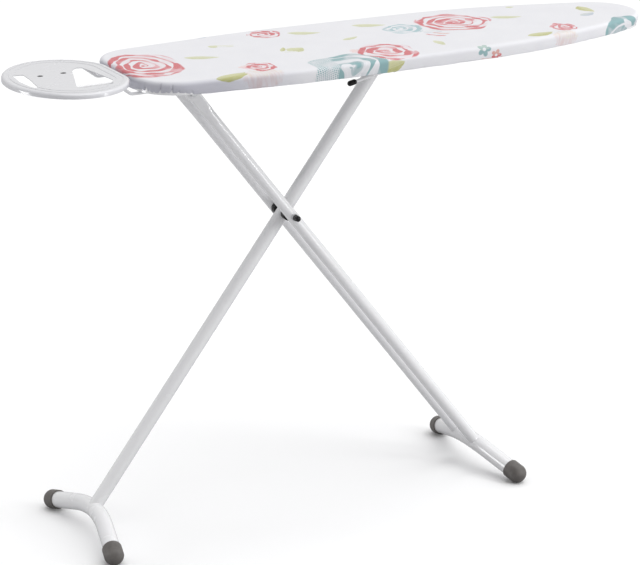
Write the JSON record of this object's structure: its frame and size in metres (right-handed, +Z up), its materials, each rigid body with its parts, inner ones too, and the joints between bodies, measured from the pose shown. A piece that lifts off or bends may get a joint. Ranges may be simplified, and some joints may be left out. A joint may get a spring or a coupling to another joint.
{
  "type": "ironing board",
  "caption": "Folding ironing board with a padded printed cover, crossed tube legs, a height lever and a pressed iron rest at the tail.",
  "frame": {"origin": "on the floor, under the centre of the object's box, board fully raised", "axes": "+X from the iron rest to the nose of the board, +Y across the board to its far side, +Z up"},
  "size_m": [1.3239, 0.3504, 0.895],
  "materials": {
    "white_paint": "smooth satin powder coat",
    "mesh_paint": "thin satin powder coat over pierced sheet",
    "rest_paint": "smooth gloss powder coat",
    "zinc_steel": "bright zinc plate",
    "black_steel": "gloss black",
    "black_plastic": "satin moulded",
    "white_nylon": "satin moulded",
    "grey_rubber": "matt warm grey rubber",
    "foam": "soft needled felt and foam",
    "cover_cloth": "plain woven cotton, pale ground with a printed rose pattern",
    "elastic": "braided elastic"
  },
  "bodies": {
    "board": {"rim_frame": "white_paint", "mesh_top": "mesh_paint", "brace_tail": "white_paint", "brace_pivot": "white_paint", "brace_middle": "white_paint", "brace_nose": "white_paint", "pivot_bracket": "white_paint", "pivot_axle": "zinc_steel", "pivot_caps": "zinc_steel", "pivot_sleeve": "zinc_steel", "bracket_rivets": "zinc_steel", "height_rack": "white_paint", "rack_rivets": "zinc_steel", "rest_plate": "rest_paint", "rest_studs": "grey_rubber", "rest_arm_far": "white_paint", "rest_arm_near": "white_paint", "rest_clips": "white_paint", "clip_rivets": "zinc_steel", "foam_pad": "foam", "cover": "cover_cloth", "hem_cord": "elastic"},
    "twin_leg": {"twin_tube_near": "white_paint", "twin_tube_far": "white_paint", "twin_foot_bar": "white_paint", "twin_foot_cap_near": "grey_rubber", "twin_foot_cap_far": "grey_rubber", "centre_bolt": "zinc_steel", "centre_nut": "black_steel", "centre_collar": "zinc_steel", "centre_spacers": "black_plastic"},
    "single_leg": {"single_tube": "white_paint", "single_foot_bar": "white_paint", "single_foot_cap_near": "grey_rubber", "single_foot_cap_far": "grey_rubber", "centre_sleeve": "white_nylon", "top_sleeve": "white_nylon"},
    "slider": {"slider_block": "black_plastic", "lock_rod": "zinc_steel", "lock_rod_caps": "zinc_steel", "lever_spring": "zinc_steel"},
    "lever": {"lever_arm": "white_paint", "lever_tip": "black_plastic"}
  },
  "joints": [
    {"name": "leg_fold", "type": "hinge", "parent": "board", "child": "twin_leg", "pos_m": [-0.32057, 0, 0.845], "axis": [0, -1, 0], "range_deg": [0, 50.17]},
    {"name": "leg_cross", "type": "hinge", "parent": "twin_leg", "child": "single_leg", "pos_m": [-0.1155, 0, 0.579], "axis": [0, 1, 0], "range_deg": [0, 100.34]},
    {"name": "slider_pivot", "type": "hinge", "parent": "single_leg", "child": "slider", "pos_m": [0.08957, 0, 0.845], "axis": [0, -1, 0], "range_deg": [0, 50.17]},
    {"name": "lever_squeeze", "type": "hinge", "parent": "slider", "child": "lever", "pos_m": [0.08957, -0.056, 0.845], "axis": [0, 1, 0], "range_deg": [0, 12], "stiffness_Nm_per_rad": 0.5, "springref_deg": -11.46}
  ],
  "couplings": [
    {"joint": "leg_cross", "follows": "leg_fold", "ratio": 2},
    {"joint": "slider_pivot", "follows": "leg_fold", "ratio": 1}
  ]
}
